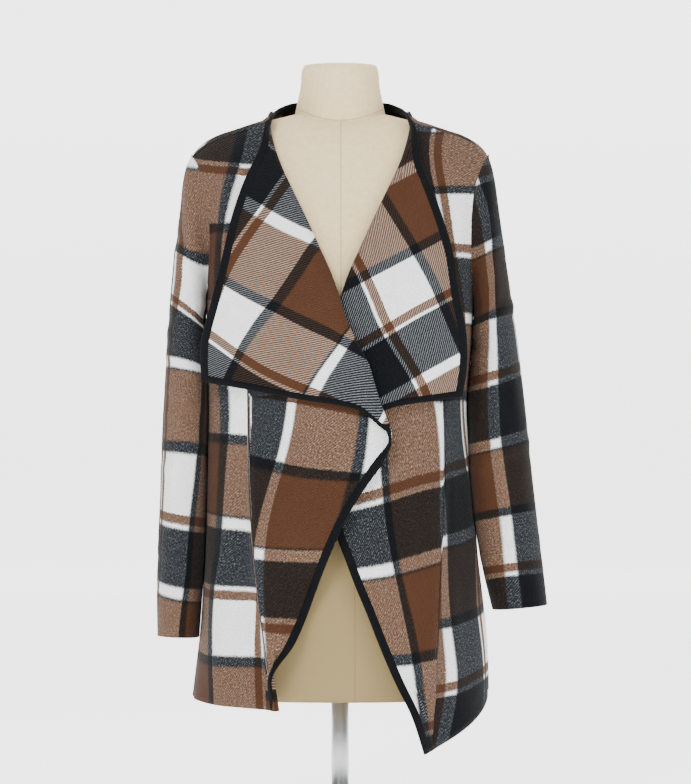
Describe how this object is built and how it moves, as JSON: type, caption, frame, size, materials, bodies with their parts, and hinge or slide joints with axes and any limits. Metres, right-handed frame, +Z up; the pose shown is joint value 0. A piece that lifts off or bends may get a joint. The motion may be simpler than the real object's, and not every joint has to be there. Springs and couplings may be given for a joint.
{
  "type": "waterfall cardigan on dress form",
  "caption": "Open waterfall cardigan in brushed plaid twill with draped lapels and black bound edges, hanging on a beige limbless dress form with a post and round base.",
  "frame": {"origin": "centre of the round base's underside", "axes": "+Z up; the front faces -Y; the wearer's left is +X"},
  "size_m": [0.4949, 0.3, 0.96],
  "materials": {
    "plaid_twill": "brushed twill plaid in black, off-white and rust brown",
    "black_binding": "fine black rib knit",
    "beige_linen": "plain woven linen, stretched",
    "steel_post": "brushed",
    "black_lacquer": "satin"
  },
  "bodies": {
    "root": {"back_panel": "plaid_twill", "front_right": "plaid_twill", "front_left": "plaid_twill", "sleeve_right": "plaid_twill", "sleeve_left": "plaid_twill", "binding_neck": "black_binding", "binding_front_right": "black_binding", "binding_front_left": "black_binding", "form_torso": "beige_linen", "stand_post": "steel_post", "stand_base": "black_lacquer"}
  },
  "joints": []
}
